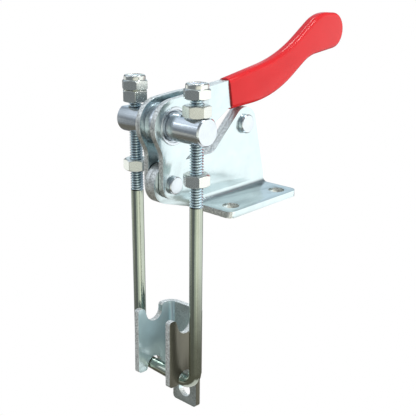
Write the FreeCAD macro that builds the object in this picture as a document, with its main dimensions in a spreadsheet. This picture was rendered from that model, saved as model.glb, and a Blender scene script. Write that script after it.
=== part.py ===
import FreeCAD, Part
import math
import os
import Sketcher
from types import SimpleNamespace

# A pull-action latch clamp with a threaded U-bolt, modelled in millimetres.
#
# Every piece is drawn in the clamp's working frame: x = 0 is the plane of the
# U-bolt, y = 0 the middle plane between the two base plates, z = 0 the mounting
# face, +X runs back under the handle and -Y is the flange side. The Placement of
# each piece then moves that frame so that the origin of the finished clamp is the
# middle of the two mounting holes, on the mounting face.

SIZES = {
    # Mounting flange and the two base plates
    "base_sheet": 3.2,
    "hole_spacing": 36.8,
    "hole_bore": 8.3,
    "latch_setback": 43.7,
    "hole_to_middle": 19.0,
    "flange_length": 54.4,
    "flange_margin": 7.4,
    "flange_corner": 4.0,
    "bend_inside": 3.0,
    "bend_land": 1.5,
    "nose_radius": 9.6,
    "nose_foot": 0.9,
    "step_fillet": 6.0,
    "step_back": 29.7,
    "rear_radius": 8.6,
    # Pivots, measured from the U-bolt plane and the mounting face
    "pivot_back": -0.8,
    "pivot_height": 16.3,
    "stop_back": 54.0,
    "stop_height": 37.2,
    "pin_height": 43.6,
    # Rivets
    "pivot_shank": 6.3,
    "pivot_head": 8.5,
    "pivot_head_thick": 2.1,
    "stop_shank": 6.0,
    "stop_head": 9.7,
    "stop_head_thick": 2.2,
    "head_edge": 0.5,
    "running_gap": 0.05,
    "side_gap": 0.3,
    # Lever plates
    "lever_sheet": 2.8,
    "eye_radius": 12.2,
    "boss_radius": 6.8,
    "waist_front": -7.4,
    "waist_height": 31.5,
    "waist_fillet": 10.0,
    "heel_front": 6.2,
    "heel_bottom": 28.8,
    "heel_fillet": 5.0,
    "heel_back": 28.2,
    "heel_radius": 7.0,
    "heel_top": 38.6,
    "tang_start": 41.0,
    "tang_fillet": 4.5,
    "joggle_start": 13.0,
    "joggle_end": 27.0,
    "joggle_radius": 8.0,
    # Vinyl grip, side outline
    "grip_wall": 0.9,
    "grip_front_top": 40.6,
    "grip_front_bottom": 43.6,
    "grip_front_high": 61.0,
    "grip_front_low": 45.6,
    "grip_sweep_top": 85.6,
    "grip_sweep_top_height": 69.8,
    "grip_sweep_top_radius": 95.0,
    "grip_sweep_bottom": 79.3,
    "grip_sweep_bottom_height": 48.1,
    "grip_sweep_bottom_radius": 75.0,
    "grip_crest": 118.6,
    "grip_crest_height": 91.5,
    "grip_crest_radius": 28.0,
    "grip_throat": 110.4,
    "grip_throat_height": 67.8,
    "grip_throat_radius": 31.0,
    "grip_end": 133.8,
    "grip_end_height": 81.0,
    "grip_end_radius": 10.1,
    "grip_edge": 2.7,
    # Trunnion bush and cross pin
    "bush_body": 18.8,
    "bush_end": 17.3,
    "bush_proud": 0.4,
    "bush_mouth": 15.0,
    "bush_mouth_deep": 1.0,
    "pin_diameter": 13.0,
    "pin_length": 53.0,
    "pin_chamfer": 0.7,
    "pin_seat": 5.6,
    "seat_length": 14.5,
    "cross_hole": 6.55,
    "nut_seat_gap": 0.05,
    # U-bolt
    "leg_spacing": 40.0,
    "thread_diameter": 6.35,
    "shank_diameter": 6.2,
    "leg_top": 63.7,
    "thread_start": 8.5,
    "thread_chamfer": 0.6,
    "bar_depth": 85.5,
    "bolt_bend": 8.0,
    # Nuts
    "nut_flats": 11.11,
    "nut_height": 5.6,
    "nut_bore": 6.4,
    "lock_height": 6.9,
    "lock_hex_height": 4.7,
    "lock_collar": 10.2,
    "lock_collar_chamfer": 0.7,
    "insert_diameter": 8.2,
    "insert_height": 1.8,
    "insert_lip": 0.35,
    "lock_bottom": 57.3,
    "lower_nut_bottom": 18.7,
    # Strike plate, hanging loose on the bar
    "strike_sheet": 3.0,
    "strike_width": 26.5,
    "strike_front": 10.8,
    "strike_web": 12.0,
    "strike_bend": 2.6,
    "strike_above": 27.9,
    "strike_below": 6.6,
    "hook_radius": 4.7,
    "notch_radius": 5.4,
    "notch_deep": 8.1,
    "prong_front_slope": 2.4,
    "prong_round": 1.7,
    "tab_width": 17.5,
    "tab_length": 20.8,
    "tab_corner": 2.0,
    "tab_hole": 8.6,
    "tab_hole_margin": 7.9,
    "strike_yaw": -2.0,
    "strike_pitch": 5.0,
    "strike_roll": 5.0,
    "strike_back": 0.8,
    "strike_aside": 0.3,
    "strike_seat_gap": 0.5,
}

PARTS_FOLDER = "parts"

doc = FreeCAD.newDocument("LatchClamp")
sheet = doc.addObject("Spreadsheet::Sheet", "Sizes")
for row, (alias, number) in enumerate(SIZES.items(), start=1):
    sheet.set("A%d" % row, alias)
    sheet.set("B%d" % row, str(number))
    sheet.setAlias("B%d" % row, alias)
doc.recompute()


class Size:
    """A dimension that knows both its number and the expression that gives it."""

    def __init__(self, number, text):
        self.number = float(number)
        self.text = text

    def combine(self, other, sign, number, swapped=False):
        pair = (other.text, self.text) if swapped else (self.text, other.text)
        return Size(number, "(%s %s %s)" % (pair[0], sign, pair[1]))

    def __add__(self, other):
        other = as_size(other)
        return self.combine(other, "+", self.number + other.number)

    def __sub__(self, other):
        other = as_size(other)
        return self.combine(other, "-", self.number - other.number)

    def __rsub__(self, other):
        return as_size(other) - self

    def __mul__(self, other):
        other = as_size(other)
        return self.combine(other, "*", self.number * other.number)

    def __truediv__(self, other):
        other = as_size(other)
        return self.combine(other, "/", self.number / other.number)

    def __neg__(self):
        return Size(-self.number, "(-1 * %s)" % self.text)

    __radd__ = __add__
    __rmul__ = __mul__


def as_size(value):
    if isinstance(value, Size):
        return value
    return Size(value, repr(float(value)))


def sine(angle):
    return Size(math.sin(math.radians(angle.number)), "sin(%s)" % angle.text)


S = SimpleNamespace(**{name: Size(value, "Sizes." + name) for name, value in SIZES.items()})
ZERO = as_size(0)


# Sketch outlines

def at(x, y):
    """A sharp corner."""
    return SimpleNamespace(kind="at", x=as_size(x), y=as_size(y), r=ZERO)


def rounded(x, y, r):
    """A corner whose two sides meet at x, y, rounded to radius r."""
    return SimpleNamespace(kind="rounded", x=as_size(x), y=as_size(y), r=as_size(r))


def about(x, y, r):
    """A round end of radius r about the centre x, y."""
    return SimpleNamespace(kind="about", x=as_size(x), y=as_size(y), r=as_size(r))


def bind(sketch, index, size):
    sketch.setExpression("Constraints[%d]" % index, size.text)


def place_point(sketch, geometry, position, x, y):
    """Fixes one point of the sketch at x, y."""
    for kind, size in (("DistanceX", x), ("DistanceY", y)):
        constraint = Sketcher.Constraint(kind, geometry, position, size.number)
        bind(sketch, sketch.addConstraint(constraint), size)


def set_radius(sketch, geometry, r):
    bind(sketch, sketch.addConstraint(Sketcher.Constraint("Radius", geometry, r.number)), r)


def side_between(first, second):
    """The straight side from one corner to the next, tangent to round ends."""
    start = FreeCAD.Vector(first.x.number, first.y.number, 0)
    end = FreeCAD.Vector(second.x.number, second.y.number, 0)
    radii = [c.r.number if c.kind == "about" else 0.0 for c in (first, second)]
    span = end - start
    heading = math.atan2(span.y, span.x) - math.asin((radii[1] - radii[0]) / span.Length)
    left = FreeCAD.Vector(-math.sin(heading), math.cos(heading), 0)
    return [start - left * radii[0], end - left * radii[1]]


def trim_corner(before, after, radius):
    """Shortens two sides to a fillet; gives its centre and turning sense."""
    into = (before[1] - before[0]).normalize()
    out = (after[1] - after[0]).normalize()
    corner = FreeCAD.Vector(before[1])
    turn = math.atan2(into.x * out.y - into.y * out.x, into.dot(out))
    setback = radius * math.tan(abs(turn) / 2)
    before[1] = corner - into * setback
    after[0] = corner + out * setback
    sense = 1 if turn > 0 else -1
    centre = before[1] + FreeCAD.Vector(-into.y, into.x, 0) * radius * sense
    return centre, sense


def add_outline(sketch, corners):
    """Draws a closed outline, anticlockwise, and binds every corner to its sizes."""
    count = len(corners)
    sides = [side_between(corners[i], corners[(i + 1) % count]) for i in range(count)]
    arcs = {}
    for i, corner in enumerate(corners):
        if corner.kind == "rounded":
            arcs[i] = trim_corner(sides[i - 1], sides[i], corner.r.number)
        elif corner.kind == "about":
            arcs[i] = (FreeCAD.Vector(corner.x.number, corner.y.number, 0), 1)
    lines = [sketch.addGeometry(Part.LineSegment(*side)) for side in sides]
    for i, corner in enumerate(corners):
        before, after = lines[i - 1], lines[i]
        if corner.kind == "at":
            sketch.addConstraint(Sketcher.Constraint("Coincident", before, 2, after, 1))
            place_point(sketch, after, 1, corner.x, corner.y)
            continue
        centre, sense = arcs[i]
        ends = [sides[i - 1][1] - centre, sides[i][0] - centre]
        angles = [math.atan2(end.y, end.x) for end in ends]
        circle = Part.Circle(centre, FreeCAD.Vector(0, 0, 1), corner.r.number)
        if sense < 0:
            angles.reverse()
        arc = sketch.addGeometry(Part.ArcOfCircle(circle, angles[0], angles[1]))
        tips = (1, 2) if sense > 0 else (2, 1)
        sketch.addConstraint(Sketcher.Constraint("Tangent", before, 2, arc, tips[0]))
        sketch.addConstraint(Sketcher.Constraint("Tangent", after, 1, arc, tips[1]))
        set_radius(sketch, arc, corner.r)
        if corner.kind == "about":
            place_point(sketch, arc, 3, corner.x, corner.y)
        else:
            meeting = FreeCAD.Vector(corner.x.number, corner.y.number, 0)
            point = sketch.addGeometry(Part.Point(meeting), True)
            sketch.addConstraint(Sketcher.Constraint("PointOnObject", point, 1, before))
            sketch.addConstraint(Sketcher.Constraint("PointOnObject", point, 1, after))
            place_point(sketch, point, 1, corner.x, corner.y)


def add_circle(sketch, x, y, diameter):
    x, y, diameter = as_size(x), as_size(y), as_size(diameter)
    centre = FreeCAD.Vector(x.number, y.number, 0)
    circle = Part.Circle(centre, FreeCAD.Vector(0, 0, 1), diameter.number / 2)
    index = sketch.addGeometry(circle)
    set_radius(sketch, index, diameter / 2)
    place_point(sketch, index, 3, x, y)


def add_rectangle(sketch, x0, y0, x1, y1):
    add_outline(sketch, [at(x0, y0), at(x1, y0), at(x1, y1), at(x0, y1)])


# Bodies and features

def new_body(name, x=ZERO, y=ZERO, z=ZERO, turn=None):
    """A body whose own origin lies at x, y, z of the clamp's working frame."""
    body = doc.addObject("PartDesign::Body", name)
    body.Label = name
    body.setExpression("Placement.Base.x", (as_size(x) - S.latch_setback).text)
    body.setExpression("Placement.Base.y", (as_size(y) + S.hole_to_middle).text)
    body.setExpression("Placement.Base.z", as_size(z).text)
    if turn is not None:
        body.Placement.Rotation = FreeCAD.Rotation(FreeCAD.Vector(0, 0, 1), turn)
    return body


def new_sketch(body, name, role, offset=None):
    sketch = body.newObject("Sketcher::SketchObject", name)
    plane = next(item for item in body.Origin.OriginFeatures if item.Role == role)
    sketch.AttachmentSupport = [(plane, "")]
    sketch.MapMode = "FlatFace"
    if offset is not None:
        sketch.setExpression("AttachmentOffset.Base.z", as_size(offset).text)
    return sketch


def extrude(body, kind, sketch, length, reverse=False, symmetric=False):
    feature = body.newObject("PartDesign::" + kind, sketch.Name + kind)
    feature.Profile = sketch
    feature.setExpression("Length", as_size(length).text)
    feature.Reversed = reverse
    if symmetric:
        feature.SideType = "Symmetric"
    doc.recompute()
    return feature


def turned(body, kind, sketch, axis):
    feature = body.newObject("PartDesign::" + kind, sketch.Name + kind)
    feature.Profile = sketch
    feature.ReferenceAxis = (sketch, [axis])
    feature.Angle = 360
    doc.recompute()
    return feature


def round_edges(body, kind, size, wanted):
    """Fillets or chamfers the edges of the body's tip that wanted() picks."""
    base = body.Tip
    names = ["Edge%d" % (i + 1) for i, edge in enumerate(base.Shape.Edges) if wanted(edge)]
    feature = body.newObject("PartDesign::" + kind, body.Name + kind + base.Name)
    feature.Base = (base, names)
    feature.setExpression("Radius" if kind == "Fillet" else "Size", size.text)
    doc.recompute()
    return feature


def is_straight(edge, direction):
    if not isinstance(edge.Curve, Part.Line):
        return False
    return abs(abs(edge.Curve.Direction.dot(FreeCAD.Vector(*direction))) - 1) < 1e-6


def near(value, size):
    return abs(value - size.number) < 1e-4


# Base plates

BEND_TOP = S.base_sheet + S.bend_inside
FLANGE_FRONT = S.latch_setback - S.flange_length / 2
FLANGE_REAR = S.latch_setback + S.flange_length / 2
STEP_TOP = S.pivot_height + S.nose_radius


def web_outline(foot):
    """Side outline that both base plates share, above their own feet."""
    return [
        about(S.pivot_back, S.pivot_height, S.nose_radius),
        at(FLANGE_FRONT, S.nose_foot),
        *foot,
        at(FLANGE_REAR, BEND_TOP + S.bend_land),
        about(S.stop_back, S.stop_height, S.rear_radius),
        rounded(S.step_back, STEP_TOP, S.step_fillet),
    ]


def add_rivet_holes(sketch):
    add_circle(sketch, S.pivot_back, S.pivot_height, S.pivot_shank)
    add_circle(sketch, S.stop_back, S.stop_height, S.stop_shank)


def make_base_plate():
    body = new_body("base_plate")
    web = new_sketch(body, "WebOutline", "XZ_Plane")
    add_outline(web, web_outline([at(FLANGE_FRONT, BEND_TOP), at(FLANGE_REAR, BEND_TOP)]))
    add_rivet_holes(web)
    extrude(body, "Pad", web, S.base_sheet)
    flange_edge = -(S.hole_to_middle + S.flange_margin)
    section = new_sketch(body, "FlangeSection", "YZ_Plane", FLANGE_FRONT)
    add_outline(section, [
        at(flange_edge, 0),
        rounded(0, 0, BEND_TOP),
        at(0, BEND_TOP + S.bend_land),
        at(-S.base_sheet, BEND_TOP + S.bend_land),
        rounded(-S.base_sheet, S.base_sheet, S.bend_inside),
        at(flange_edge, S.base_sheet),
    ])
    extrude(body, "Pad", section, S.flange_length)
    holes = new_sketch(body, "MountingHoles", "XY_Plane")
    for side in (-1, 1):
        across = S.latch_setback + S.hole_spacing / 2 * side
        add_circle(holes, across, -S.hole_to_middle, S.hole_bore)
    extrude(body, "Pocket", holes, S.base_sheet * 2, symmetric=False, reverse=True)
    round_edges(body, "Fillet", S.flange_corner, lambda edge: is_straight(edge, (0, 0, 1))
                and near(edge.CenterOfMass.y, flange_edge))
    return body


def make_side_plate():
    body = new_body("side_plate")
    web = new_sketch(body, "WebOutline", "XZ_Plane")
    add_outline(web, web_outline([at(FLANGE_FRONT, 0), at(FLANGE_REAR, 0)]))
    add_rivet_holes(web)
    extrude(body, "Pad", web, S.base_sheet, reverse=True)
    return body


# Rivets

def make_rivet(name, x, z, shank, head, thick, grip):
    """A rivet along Y with a flat, chamfered head at each end of its grip."""
    body = new_body(name, x=x, z=z)
    half = new_sketch(body, name + "_profile", "YZ_Plane")
    inner, outer = grip / 2, grip / 2 + thick
    add_outline(half, [
        at(-outer, 0),
        at(outer, 0),
        at(outer, head / 2 - S.head_edge),
        at(outer - S.head_edge, head / 2),
        at(inner, head / 2),
        at(inner, shank / 2),
        at(-inner, shank / 2),
        at(-inner, head / 2),
        at(S.head_edge - outer, head / 2),
        at(-outer, head / 2 - S.head_edge),
    ])
    turned(body, "Revolution", half, "H_Axis")
    return body


# Lever

LEVER_INNER = S.base_sheet + S.side_gap
LEVER_OUTER = LEVER_INNER + S.lever_sheet
TANG_TOP = S.grip_front_high - S.grip_wall
TANG_BOTTOM = S.grip_front_low + S.grip_wall
HANDLE_END = S.grip_end + S.grip_end_radius
HANDLE_TOP = S.grip_crest_height + S.grip_end_height


def grip_outline(wall, front):
    """Side outline of the grip, or of the tang that lies a wall thickness inside it."""
    return [
        rounded(S.grip_sweep_bottom, S.grip_sweep_bottom_height + wall, S.grip_sweep_bottom_radius),
        rounded(S.grip_throat, S.grip_throat_height + wall, S.grip_throat_radius),
        about(S.grip_end, S.grip_end_height, S.grip_end_radius - wall),
        rounded(S.grip_crest, S.grip_crest_height - wall, S.grip_crest_radius),
        rounded(S.grip_sweep_top, S.grip_sweep_top_height - wall, S.grip_sweep_top_radius),
        *front,
    ]


def add_step(body, name, before, after, side, margin, keep):
    """Cuts away the outside or inside of one lever plate along its joggle."""
    step = new_sketch(body, name, "XY_Plane")
    front = S.waist_front - S.eye_radius
    rear = HANDLE_END
    path = [at(front, before * side), rounded(S.joggle_start, before * side, S.joggle_radius),
            rounded(S.joggle_end, after * side, S.joggle_radius), at(rear, after * side)]
    path += [at(rear, margin * side), at(front, margin * side)]
    if keep * side > 0:
        path.reverse()
    add_outline(step, path)
    extrude(body, "Pocket", step, HANDLE_TOP, reverse=True)


def make_lever_plate(name, side):
    """One stamped lever plate; side is -1 for the flange side and 1 for the other."""
    body = new_body(name)
    outline = new_sketch(body, name + "_outline", "XZ_Plane")
    neck = [
        at(S.grip_front_top, TANG_TOP),
        about(ZERO, S.pin_height, S.eye_radius),
        rounded(S.waist_front, S.waist_height, S.waist_fillet),
        about(S.pivot_back, S.pivot_height, S.boss_radius),
        rounded(S.heel_front, S.heel_bottom, S.heel_fillet),
        rounded(S.heel_back, S.heel_bottom, S.heel_radius),
        rounded(S.heel_back, S.heel_top, S.tang_fillet),
        rounded(S.tang_start, TANG_BOTTOM, S.tang_fillet),
    ]
    add_outline(outline, grip_outline(S.grip_wall, neck))
    add_circle(outline, S.pivot_back, S.pivot_height, S.pivot_shank + S.running_gap * 2)
    add_circle(outline, ZERO, S.pin_height, S.bush_end + S.running_gap * 2)
    extrude(body, "Pad", outline, LEVER_OUTER, reverse=side > 0)
    beyond = LEVER_OUTER + S.lever_sheet
    add_step(body, name + "_inside", LEVER_INNER, ZERO, side, -S.lever_sheet, -1)
    add_step(body, name + "_outside", LEVER_OUTER, S.lever_sheet, side, beyond, 1)
    return body


def make_grip():
    body = new_body("grip")
    width = (S.lever_sheet + S.grip_wall) * 2
    outline = new_sketch(body, "GripOutline", "XZ_Plane")
    front = [at(S.grip_front_top, S.grip_front_high), at(S.grip_front_bottom, S.grip_front_low)]
    add_outline(outline, grip_outline(ZERO, front))
    extrude(body, "Pad", outline, width, symmetric=True)
    half = width / 2
    round_edges(body, "Fillet", S.grip_edge, lambda edge: near(abs(edge.CenterOfMass.y), half)
                and edge.CenterOfMass.x > S.grip_front_bottom.number)
    cavity = new_sketch(body, "TangCavity", "XZ_Plane")
    mouth = S.grip_front_top - S.lever_sheet
    front = [at(S.grip_front_top, TANG_TOP), at(mouth, TANG_TOP), at(mouth, TANG_BOTTOM),
             at(S.tang_start, TANG_BOTTOM)]
    add_outline(cavity, grip_outline(S.grip_wall, front))
    extrude(body, "Pocket", cavity, S.lever_sheet * 2, symmetric=True)
    return body


# Trunnion

def make_bush():
    body = new_body("trunnion_bush", z=S.pin_height)
    half = new_sketch(body, "BushProfile", "YZ_Plane")
    shoulder = LEVER_INNER - S.running_gap
    end = LEVER_OUTER + S.bush_proud
    bore = S.pin_diameter / 2 + S.running_gap
    floor = end - S.bush_mouth_deep
    add_outline(half, [
        at(-floor, bore), at(floor, bore),
        at(floor, S.bush_mouth / 2), at(end, S.bush_mouth / 2),
        at(end, S.bush_end / 2), at(shoulder, S.bush_end / 2),
        at(shoulder, S.bush_body / 2), at(-shoulder, S.bush_body / 2),
        at(-shoulder, S.bush_end / 2), at(-end, S.bush_end / 2),
        at(-end, S.bush_mouth / 2), at(-floor, S.bush_mouth / 2),
    ])
    turned(body, "Revolution", half, "H_Axis")
    return body


def make_cross_pin():
    body = new_body("cross_pin", z=S.pin_height)
    half = new_sketch(body, "PinProfile", "YZ_Plane")
    end, radius = S.pin_length / 2, S.pin_diameter / 2
    add_outline(half, [
        at(-end, 0), at(end, 0), at(end, radius - S.pin_chamfer), at(end - S.pin_chamfer, radius),
        at(S.pin_chamfer - end, radius), at(-end, radius - S.pin_chamfer),
    ])
    turned(body, "Revolution", half, "H_Axis")
    for name, side in (("Near", -1), ("Far", 1)):
        leg = S.leg_spacing / 2 * side
        hole = new_sketch(body, name + "CrossHole", "XY_Plane")
        add_circle(hole, 0, leg, S.cross_hole)
        extrude(body, "Pocket", hole, S.pin_diameter * 2, symmetric=True)
        flat = new_sketch(body, name + "Seat", "XY_Plane", S.pin_seat)
        add_rectangle(flat, -radius, leg - S.seat_length / 2, radius, leg + S.seat_length / 2)
        extrude(body, "Pocket", flat, radius, reverse=True)
    return body


# U-bolt and nuts

def make_u_bolt():
    body = new_body("u_bolt")
    leg = S.leg_spacing / 2
    path = new_sketch(body, "BoltPath", "YZ_Plane")
    bend = S.bolt_bend
    rim = bend - S.bar_depth
    arc_gap = leg - bend
    points = [(-leg, S.leg_top), (-leg, rim), (-arc_gap, -S.bar_depth),
              (arc_gap, -S.bar_depth), (leg, rim), (leg, S.leg_top)]
    spots = [FreeCAD.Vector(as_size(y).number, as_size(z).number, 0) for y, z in points]
    up = FreeCAD.Vector(0, 0, 1)
    near_leg = path.addGeometry(Part.LineSegment(spots[0], spots[1]))
    near_centre = FreeCAD.Vector(-arc_gap.number, rim.number, 0)
    near_bend = path.addGeometry(Part.ArcOfCircle(
        Part.Circle(near_centre, up, bend.number), math.pi, 1.5 * math.pi))
    bar = path.addGeometry(Part.LineSegment(spots[2], spots[3]))
    far_centre = FreeCAD.Vector(arc_gap.number, rim.number, 0)
    far_bend = path.addGeometry(Part.ArcOfCircle(
        Part.Circle(far_centre, up, bend.number), 1.5 * math.pi, 2 * math.pi))
    far_leg = path.addGeometry(Part.LineSegment(spots[4], spots[5]))
    for first, tip, second, root in ((near_leg, 2, near_bend, 1), (near_bend, 2, bar, 1),
                                     (bar, 2, far_bend, 1), (far_bend, 2, far_leg, 1)):
        path.addConstraint(Sketcher.Constraint("Tangent", first, tip, second, root))
    set_radius(path, near_bend, bend)
    set_radius(path, far_bend, bend)
    place_point(path, near_bend, 3, -arc_gap, rim)
    place_point(path, far_bend, 3, arc_gap, rim)
    place_point(path, near_leg, 1, -leg, S.leg_top)
    place_point(path, far_leg, 2, leg, S.leg_top)
    section = new_sketch(body, "ShankSection", "XY_Plane", S.leg_top)
    add_circle(section, 0, -leg, S.shank_diameter)
    doc.recompute()
    pipe = body.newObject("PartDesign::AdditivePipe", "Shank")
    pipe.Profile = section
    pipe.Spine = path
    doc.recompute()
    for name, side in (("Near", -1), ("Far", 1)):
        thread = new_sketch(body, name + "Thread", "XY_Plane", S.thread_start)
        add_circle(thread, 0, leg * side, S.thread_diameter)
        extrude(body, "Pad", thread, S.leg_top - S.thread_start)
    top = S.leg_top
    round_edges(body, "Chamfer", S.thread_chamfer, lambda edge: near(edge.CenterOfMass.z, top)
                and isinstance(edge.Curve, Part.Circle))
    return body


# How far each nut is turned on its thread, in degrees
NUT_TURNS = {
    "seat_nut_near": 42,
    "seat_nut_far": 19,
    "lower_nut_near": 25,
    "lower_nut_far": 44,
    "lock_nut_near": 22,
    "lock_nut_far": 19,
}


def body_on_leg(name, side, bottom):
    """A body round one leg of the U-bolt; side is -1 for the near leg and 1 for the far one."""
    return new_body(name, y=S.leg_spacing / 2 * side, z=bottom, turn=NUT_TURNS.get(name, 0))


def add_hexagon(sketch, flats):
    """A hexagon with two sides square to X."""
    half, corner = flats / 2, flats * (1 / math.sqrt(3))
    add_outline(sketch, [at(half, -corner / 2), at(half, corner / 2), at(0, corner),
                         at(-half, corner / 2), at(-half, -corner / 2), at(0, -corner)])


def make_plain_nut(name, side, bottom):
    body = body_on_leg(name, side, bottom)
    outline = new_sketch(body, name + "_outline", "XY_Plane")
    add_hexagon(outline, S.nut_flats)
    add_circle(outline, 0, 0, S.nut_bore)
    extrude(body, "Pad", outline, S.nut_height)
    return body


def make_lock_nut(name, side):
    """A locking nut: a hexagon below and a round collar that holds the insert."""
    body = body_on_leg(name, side, S.lock_bottom)
    outline = new_sketch(body, name + "_outline", "XY_Plane")
    add_hexagon(outline, S.nut_flats)
    add_circle(outline, 0, 0, S.nut_bore)
    extrude(body, "Pad", outline, S.lock_hex_height)
    collar = new_sketch(body, name + "_collar", "XZ_Plane")
    low = S.lock_hex_height - S.insert_lip
    seat = S.lock_height - S.insert_lip - S.insert_height
    lip = S.insert_diameter / 2 - S.insert_lip
    add_outline(collar, [
        at(S.nut_bore / 2, low),
        at(S.lock_collar / 2, low),
        at(S.lock_collar / 2, S.lock_height - S.lock_collar_chamfer),
        at(S.lock_collar / 2 - S.lock_collar_chamfer, S.lock_height),
        at(lip, S.lock_height),
        at(lip, S.lock_height - S.insert_lip),
        at(S.insert_diameter / 2, S.lock_height - S.insert_lip),
        at(S.insert_diameter / 2, seat),
        at(S.nut_bore / 2, seat),
    ])
    turned(body, "Revolution", collar, "V_Axis")
    return body


def make_lock_insert(name, side):
    body = body_on_leg(name, side, S.lock_bottom)
    seat = S.lock_height - S.insert_lip - S.insert_height
    ring = new_sketch(body, name + "_ring", "XY_Plane", seat)
    add_circle(ring, 0, 0, S.insert_diameter)
    add_circle(ring, 0, 0, S.thread_diameter)
    extrude(body, "Pad", ring, S.insert_height)
    return body


# Strike plate

def make_strike_plate():
    """A folded channel hooked over the bar; its own z = 0 is the top of its lower notches."""
    half, web = S.strike_width / 2, S.strike_web
    tip = half * sine(S.strike_roll)
    bar_top = S.shank_diameter / 2 - S.bar_depth
    body = new_body("strike_plate", x=S.strike_back, y=S.strike_aside,
                    z=bar_top + tip + S.strike_seat_gap)
    body.setExpression("Placement.Rotation.Yaw", S.strike_yaw.text)
    body.setExpression("Placement.Rotation.Pitch", S.strike_pitch.text)
    body.setExpression("Placement.Rotation.Roll", (-S.strike_roll).text)
    inner = half - S.strike_sheet
    outer_bend = S.strike_bend + S.strike_sheet
    bottom = -S.strike_below
    top = S.strike_above
    section = new_sketch(body, "ChannelSection", "XY_Plane", bottom)
    add_outline(section, [
        at(-S.strike_front, -half),
        rounded(web + S.strike_sheet, -half, outer_bend),
        rounded(web + S.strike_sheet, half, outer_bend),
        at(-S.strike_front, half),
        at(-S.strike_front, inner),
        rounded(web, inner, S.strike_bend),
        rounded(web, -inner, S.strike_bend),
        at(-S.strike_front, -inner),
    ])
    extrude(body, "Pad", section, top - bottom)
    tab = new_sketch(body, "TabOutline", "YZ_Plane", web)
    edge, foot = S.tab_width / 2, bottom - S.tab_length
    add_outline(tab, [
        rounded(-edge, foot, S.tab_corner), rounded(edge, foot, S.tab_corner),
        at(edge, bottom + S.strike_sheet), at(-edge, bottom + S.strike_sheet),
    ])
    add_circle(tab, 0, foot + S.tab_hole_margin, S.tab_hole)
    extrude(body, "Pad", tab, S.strike_sheet)
    hooks = new_sketch(body, "LowerNotches", "XZ_Plane")
    mouth = bottom - S.strike_sheet
    add_outline(hooks, [
        at(-S.hook_radius, mouth), at(S.hook_radius, mouth),
        about(0, -S.hook_radius, S.hook_radius),
    ])
    extrude(body, "Pocket", hooks, S.strike_width * 2, symmetric=True)
    notches = new_sketch(body, "UpperNotches", "XZ_Plane")
    over = top + S.strike_sheet
    add_outline(notches, [
        about(0, top - S.notch_deep + S.notch_radius, S.notch_radius),
        at(S.notch_radius, over),
        at(-S.notch_radius - S.prong_front_slope, over),
    ])
    extrude(body, "Pocket", notches, S.strike_width * 2, symmetric=True)
    levels = (bottom, top)
    round_edges(body, "Fillet", S.prong_round, lambda edge: is_straight(edge, (0, 1, 0))
                and abs(edge.CenterOfMass.y) > inner.number
                and any(near(edge.CenterOfMass.z, level) for level in levels)
                and edge.CenterOfMass.x < web.number)
    return body


# Assembly

base_grip = S.base_sheet * 2
lever_grip = (LEVER_OUTER + S.running_gap) * 2
seat_height = S.pin_height + S.pin_seat + S.nut_seat_gap

pieces = [
    make_base_plate(),
    make_side_plate(),
    make_rivet("pivot_rivet", S.pivot_back, S.pivot_height, S.pivot_shank, S.pivot_head,
               S.pivot_head_thick, lever_grip),
    make_rivet("stop_rivet", S.stop_back, S.stop_height, S.stop_shank, S.stop_head,
               S.stop_head_thick, base_grip),
    make_lever_plate("lever_plate_near", -1),
    make_lever_plate("lever_plate_far", 1),
    make_grip(),
    make_bush(),
    make_cross_pin(),
    make_u_bolt(),
    make_plain_nut("seat_nut_near", -1, seat_height),
    make_plain_nut("seat_nut_far", 1, S.lock_bottom - S.nut_height),
    make_plain_nut("lower_nut_near", -1, S.lower_nut_bottom),
    make_plain_nut("lower_nut_far", 1, S.lower_nut_bottom),
    make_lock_nut("lock_nut_near", -1),
    make_lock_nut("lock_nut_far", 1),
    make_lock_insert("lock_insert_near", -1),
    make_lock_insert("lock_insert_far", 1),
    make_strike_plate(),
]

doc.recompute()
for item in doc.Objects:
    if "Invalid" in item.State or "Error" in item.State:
        raise RuntimeError("%s did not build: %s" % (item.Name, item.State))
for piece in pieces:
    shape = piece.Shape
    if shape.isNull() or not shape.isValid() or len(shape.Solids) != 1:
        raise RuntimeError("%s is not one valid solid" % piece.Label)

os.makedirs(PARTS_FOLDER, exist_ok=True)
for piece in pieces:
    piece.Shape.exportStep(os.path.join(PARTS_FOLDER, piece.Label + ".step"))
    box = piece.Shape.BoundBox
    print("%-18s volume %9.1f  x %7.1f %7.1f  y %6.1f %6.1f  z %7.1f %7.1f" % (
        piece.Label, piece.Shape.Volume, box.XMin, box.XMax, box.YMin, box.YMax,
        box.ZMin, box.ZMax))
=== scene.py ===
import math

import bmesh
import bpy
from bpy.props import FloatProperty, FloatVectorProperty, PointerProperty
from mathutils import Matrix, Vector


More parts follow.
